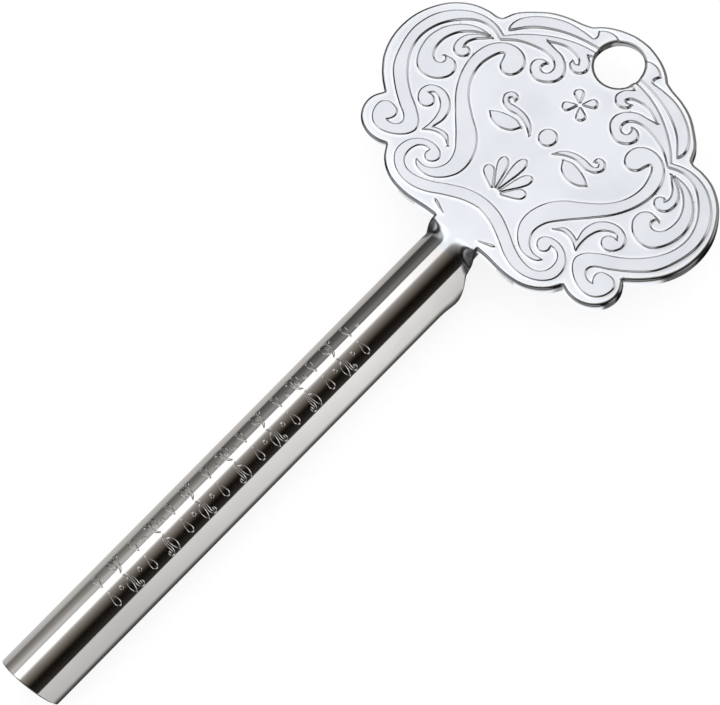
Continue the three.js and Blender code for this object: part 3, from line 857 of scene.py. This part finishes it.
def nickel(name, tones, satin_from, satin_to):
    """Nickel plate. It is bright before station satin_from and satin past satin_to."""
    material = bpy.data.materials.new(name)
    material.use_nodes = True
    graph = Graph(material.node_tree)
    place = graph.add("ShaderNodeTexCoord").outputs["Object"]
    station = graph.add("ShaderNodeSeparateXYZ", {0: place}).outputs[0]
    satin = graph.spread(station, ORIGIN.x + satin_from * MM, ORIGIN.x + satin_to * MM, 0.0, 1.0)
    edge_shade_and_wear_mask = graph.mask("edge_shade_and_wear")

    cloud = graph.noise(place, 160, detail=3.0)
    grain = graph.noise(place, 7000, detail=3.0)
    draw_lines = graph.noise(place, 5500, stretch=(0.012, 1, 1), detail=3.0)
    hairlines = graph.noise(place, 2600, stretch=(0.02, 1, 1), turn=0.6, detail=1.0)
    cross_hairlines = graph.noise(place, 2200, stretch=(1, 0.02, 1), turn=0.35, detail=1.0)
    scratches = graph.math(
        "ADD",
        graph.spread(hairlines, 0.70, 0.76, 0.0, 1.0),
        graph.spread(cross_hairlines, 0.71, 0.77, 0.0, 1.0),
    )

    # Colour: cloudy plate, painted highlight strips, greyer bands, stain in the grooves, and painted
    # shade on the edges and in the creases.
    plate = graph.tint(graph.spread(cloud, 0.3, 0.7, 0.0, 1.0), *tones)
    # Painted highlight: the strips beside the bands and the edges turn whiter.
    bright = graph.tint(graph.math("MULTIPLY", graph.mask("painted_highlight"), 0.5), plate, PAINTED_HIGHLIGHT_WHITE)
    on_band = graph.math("MULTIPLY", graph.math("MULTIPLY", graph.mask("raised"), satin), 0.12)
    handled = graph.tint(on_band, bright, HANDLED)
    stained = graph.tint(graph.math("MULTIPLY", graph.mask("groove"), 0.25), handled, STAIN)
    # Painted shade: dark edges, and a dark wall in the hole.
    edge_shade = graph.math("MULTIPLY", graph.math("POWER", edge_shade_and_wear_mask, 3.0), 0.75)
    edge_shaded = graph.tint(edge_shade, stained, PAINTED_EDGE_SHADE)
    speckle = graph.spread(grain, 0.25, 0.6, 0.85, 1.0)
    # Painted shade, speckled, at the neck's creases; below, it also makes them matt.
    crease_shade_and_matt = graph.math("MULTIPLY", graph.spread(graph.mask("crease"), 0.0, 0.6, 0.0, 0.92), speckle)
    colour = graph.tint(crease_shade_and_matt, edge_shaded, PAINTED_CREASE_SHADE)

    # Roughness: patchy, duller along scratches and in the creases, smoother on worn edges.
    base = graph.spread(satin, 0.0, 1.0, BRIGHT_ROUGHNESS, SATIN_ROUGHNESS)
    patchy = graph.math("ADD", base, graph.spread(cloud, 0.3, 0.7, -0.01, 0.02))
    scratched = graph.math("ADD", patchy, graph.math("MULTIPLY", scratches, 0.05))
    matt = graph.math("ADD", scratched, graph.math("MULTIPLY", crease_shade_and_matt, 0.2))
    roughness = graph.math("SUBTRACT", matt, graph.math("MULTIPLY", edge_shade_and_wear_mask, 0.02))

    # Marks in the surface: fine grain on the satin part, and draw lines on the bright part.
    fine = graph.math("MULTIPLY", grain, graph.spread(satin, 0.0, 1.0, 0.4, 1.0))
    lines = graph.math("MULTIPLY", draw_lines, graph.spread(satin, 0.0, 1.0, 0.6, 0.15))
    scored = graph.math("MULTIPLY", scratches, 0.15)
    marks = graph.math("SUBTRACT", graph.math("ADD", fine, lines), scored)
    bump = graph.add("ShaderNodeBump", {"Height": marks, "Strength": 1.0, "Distance": MARK_DEPTH})
    surface = graph.add(
        "ShaderNodeBsdfPrincipled",
        {
            "Base Color": colour,
            "Metallic": 1.0,
            "Roughness": roughness,
            "Normal": bump.outputs[0],
        },
    )
    graph.add("ShaderNodeOutputMaterial", {"Surface": surface.outputs[0]})
    return material


def table_top():
    """Pale matt board that glows softly, as on a light table."""
    material = bpy.data.materials.new("pale_board")
    material.use_nodes = True
    graph = Graph(material.node_tree)
    place = graph.add("ShaderNodeTexCoord").outputs["Object"]
    fibre = graph.noise(place, 900, detail=4.0)
    colour = graph.tint(fibre, (0.24, 0.24, 0.24, 1), (0.27, 0.27, 0.27, 1))
    surface = graph.add(
        "ShaderNodeBsdfPrincipled",
        {
            "Base Color": colour,
            "Roughness": 0.9,
            "Specular IOR Level": 0.0,
            "Emission Color": (1, 1, 1, 1),
            "Emission Strength": 0.8,
        },
    )
    graph.add("ShaderNodeOutputMaterial", {"Surface": surface.outputs[0]})
    return material


def add_pieces():
    """The bow, neck and barrel, with their materials and the CAD nodes that each one replaces."""
    satin_nickel = nickel("satin_nickel", COOL_NICKEL, SHOULDER, 0.5)
    bright_nickel = nickel("bright_nickel", WARM_NICKEL, 10, 20)
    blank = Blank()
    bow = blank.make_piece("bow", NECK_END, TIP_X + 1)
    neck = blank.make_piece("neck", BARREL_START, NECK_END)
    barrel = blank.make_piece("barrel", BARREL_END - 1, BARREL_START)
    for piece, material, slot, nodes in (
        (bow, satin_nickel, "satin_nickel", ["bow_plate", *ORNAMENT_NODES]),
        (neck, satin_nickel, "satin_nickel", ["neck_web"]),
        (barrel, bright_nickel, "bright_nickel", BARREL_NODES),
    ):
        piece.data.materials.append(material)
        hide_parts(*nodes)


# ---- Stage. ----

def add_floor():
    """A wide board that the key lies on. The metal doesn't mirror it."""
    mesh = bpy.data.meshes.new("floor")
    half = 1.5
    corners = [(-half, -half, 0), (half, -half, 0), (half, half, 0), (-half, half, 0)]
    mesh.from_pydata(corners, [], [(0, 1, 2, 3)])
    floor = bpy.data.objects.new("floor", mesh)
    floor.location.z = cad_box[0][2]
    floor.visible_glossy = False
    mesh.materials.append(table_top())
    bpy.context.scene.collection.objects.link(floor)


# What polished metal mirrors, by the angle of the mirrored direction about the barrel: straight up
# is 0, positive towards -y. Each stop is (angle in degrees, brightness, warmth).
STUDIO_STOPS = [
    (-180, 0.08, 0.06),
    (-171, 0.1, 0.06),
    (-160, 0.5, 0.03),
    (-148, 0.7, 0.02),
    (-140, 0.68, 0.02),
    (-101, 0.54, 0.03),
    (-94, 0.5, 0.04),
    (-90, 0.25, 0.08),
    (-81, 0.2, 0.12),
    (-71, 0.27, 0.1),
    (-61, 0.37, 0.08),
    (-51, 0.62, 0.03),
    (-39, 0.6, 0.02),
    (-37.5, 0.12, 0.05),
    (-36.5, 1.4, 0.0),
    (-13, 1.4, 0.0),
    (-8, 0.6, 0.04),
    (-3, 0.36, 0.12),
    (9, 0.2, 0.2),
    (20, 0.09, 0.3),
    (28, 0.02, 0.45),
    (35, 0.005, 0.45),
    (48, 0.014, 0.35),
    (65, 0.04, 0.2),
    (67, 0.98, 0.01),
    (135, 0.84, 0.01),
    (147, 0.5, 0.03),
    (155, 0.2, 0.04),
    (165, 0.1, 0.06),
    (180, 0.08, 0.06),
]

# The same for the room past the bow's tip, and for the room before the barrel's end.
TIP_STOPS = [
    (-180, 0.7, 0.02),
    (-150, 1.0, 0.0),
    (-140, 0.9, 0.0),
    (-134, 0.25, 0.08),
    (-118, 0.35, 0.06),
    (-110, 0.9, 0.01),
    (-68, 0.8, 0.02),
    (-60, 0.3, 0.08),
    (-30, 0.2, 0.1),
    (-5, 0.28, 0.08),
    (20, 0.4, 0.05),
    (38, 0.55, 0.03),
    (50, 1.0, 0.0),
    (88, 1.0, 0.0),
    (94, 0.3, 0.05),
    (130, 0.5, 0.04),
    (160, 0.6, 0.02),
    (180, 0.7, 0.02),
]
START_STOPS = [
    (-180, 0.6, 0.02),
    (-150, 0.9, 0.0),
    (-120, 0.3, 0.06),
    (-95, 0.15, 0.08),
    (-88, 1.0, 0.0),
    (-30, 1.0, 0.0),
    (-20, 0.4, 0.05),
    (0, 0.45, 0.05),
    (30, 0.4, 0.05),
    (50, 0.9, 0.0),
    (85, 0.7, 0.02),
    (92, 0.2, 0.08),
    (120, 0.3, 0.06),
    (150, 0.7, 0.02),
    (180, 0.6, 0.02),
]

# The brightest stop. Colour ramps hold at most 1, so stops are stored as shares of it.
BRIGHTEST = 1.4


def add_cards(graph, turn, stops):
    """A colour ramp of light round the key's long axis."""
    ramp = graph.add("ShaderNodeValToRGB", {0: turn})
    elements = ramp.color_ramp.elements
    elements.remove(elements[-1])
    for i, (degrees, bright, warmth) in enumerate(stops):
        stop = elements[0] if i == 0 else elements.new(1.0)
        stop.position = degrees / 360 + 0.5
        share = bright / BRIGHTEST
        stop.color = (share, share * (1 - 0.5 * warmth), share * (1 - warmth), 1)
    return ramp.outputs[0]


def add_studio():
    """A white surround, with the cards and dark room that the metal mirrors."""
    world = bpy.data.worlds.new("studio")
    world.use_nodes = True
    bpy.context.scene.world = world
    graph = Graph(world.node_tree)
    direction = graph.add("ShaderNodeTexCoord").outputs["Generated"]
    along, sideways, height = graph.add("ShaderNodeSeparateXYZ", {0: direction}).outputs
    angle = graph.math("ARCTAN2", graph.math("MULTIPLY", sideways, -1.0), height)
    turn = graph.math("ADD", graph.math("DIVIDE", angle, 2 * math.pi), 0.5)

    # The grey card on the left is dimmer towards the bow. Neither side card reaches past the neck.
    from_left = graph.spread(angle, -1.62, -1.54, 0.0, 1.0)
    left_card = graph.math("MULTIPLY", from_left, graph.spread(angle, -0.66, -0.64, 1.0, 0.0))
    left_side = graph.spread(angle, -1.1, -0.68, 1.0, 0.0)
    right_side = graph.spread(angle, 1.0, 1.1, 0.0, 1.0)
    past_neck = graph.spread(along, 0.255, 0.285, 0.0, 0.95)
    above_low_cards = graph.spread(height, -0.6, -0.5, 0.0, 1.0)
    shades = [
        graph.math("MULTIPLY", left_card, graph.spread(along, 0.0, 0.2, 0.0, 0.62)),
        graph.math("MULTIPLY", left_side, past_neck),
        graph.math("MULTIPLY", right_side, past_neck),
        graph.math("MULTIPLY", right_side, graph.spread(along, 0.0, 0.18, 0.28, 0.0)),
        graph.math("MULTIPLY", right_side, graph.spread(along, -0.3, -0.2, 0.9, 0.0)),
        graph.math("MULTIPLY", above_low_cards, graph.spread(along, -0.34, -0.14, 0.95, 0.0)),
        graph.spread(along, 0.48, 0.56, 0.0, 0.95),
    ]
    # Overhead the light is dimmer above the bow, and rises in a glare before it ends at the tip.
    dimmer = graph.spread(along, 0.19, 0.26, 1.0, 0.78)
    level = graph.math("ADD", dimmer, graph.spread(along, 0.39, 0.46, 0.0, 0.45))
    for shade in shades:
        level = graph.math("MULTIPLY", level, graph.math("SUBTRACT", 1.0, shade))
    scaled = {0: add_cards(graph, turn, STUDIO_STOPS), "Scale": level}
    over_key = graph.add("ShaderNodeVectorMath", scaled, operation="SCALE").outputs[0]

    # Further rooms lie past both ends. Low white cards light the edges that face the barrel's end.
    in_tip_room = graph.spread(along, 0.54, 0.6, 0.0, 1.0)
    in_start_room = graph.spread(along, -0.57, -0.52, 1.0, 0.0)
    to_tip = graph.tint(in_tip_room, over_key, add_cards(graph, turn, TIP_STOPS))
    to_start = graph.tint(in_start_room, to_tip, add_cards(graph, turn, START_STOPS))
    low_side = graph.spread(sideways, 0.2, 0.3, 0.0, 1.0)
    low_place = graph.math("MAXIMUM", low_side, graph.spread(along, -0.2, -0.12, 1.0, 0.0))
    low_card = graph.math("MULTIPLY", low_place, graph.spread(height, -0.85, -0.8, 1.0, 0.0))
    room = graph.tint(low_card, to_start, (0.93, 0.93, 0.93, 1))
    mirrored_room = graph.add("ShaderNodeBackground", {"Color": room, "Strength": BRIGHTEST})
    white = graph.add("ShaderNodeBackground", {"Color": (1, 1, 1, 1)})
    is_glossy = graph.add("ShaderNodeLightPath").outputs["Is Glossy Ray"]
    shaders = {0: is_glossy, 1: white.outputs[0], 2: mirrored_room.outputs[0]}
    both = graph.add("ShaderNodeMixShader", shaders)
    graph.add("ShaderNodeOutputWorld", {"Surface": both.outputs[0]})
    bpy.context.scene.view_settings.view_transform = "Standard"


# The camera looks at a point near the middle of the key, from above and from the barrel's end.
LOOK_AT = Vector((0.76, -1.75, 6.59)) * MM
CAMERA_DISTANCE = 0.22174
CAMERA_HEADING = math.radians(61.585)
CAMERA_TILT = math.radians(67.119)
CAMERA_ROLL = math.radians(-19.080)
CAMERA_LENS = 111.08


def add_camera():
    """The photographer's view of the key."""
    data = bpy.data.cameras.new("camera")
    data.lens = CAMERA_LENS
    data.clip_start = 0.01
    camera = bpy.data.objects.new("camera", data)
    level = math.cos(CAMERA_TILT)
    ahead, aside = level * math.cos(CAMERA_HEADING), level * math.sin(CAMERA_HEADING)
    forward = Vector((ahead, aside, -math.sin(CAMERA_TILT)))
    level_right = forward.cross(Vector((0, 0, 1))).normalized()
    level_up = level_right.cross(forward)
    right = level_right * math.cos(CAMERA_ROLL) + level_up * math.sin(CAMERA_ROLL)
    up = right.cross(forward)
    turn = Matrix((right, up, -forward)).transposed().to_4x4()
    camera.matrix_world = Matrix.Translation(LOOK_AT - forward * CAMERA_DISTANCE) @ turn
    bpy.context.scene.collection.objects.link(camera)
    bpy.context.scene.camera = camera


add_pieces()
add_floor()
add_studio()
add_camera()
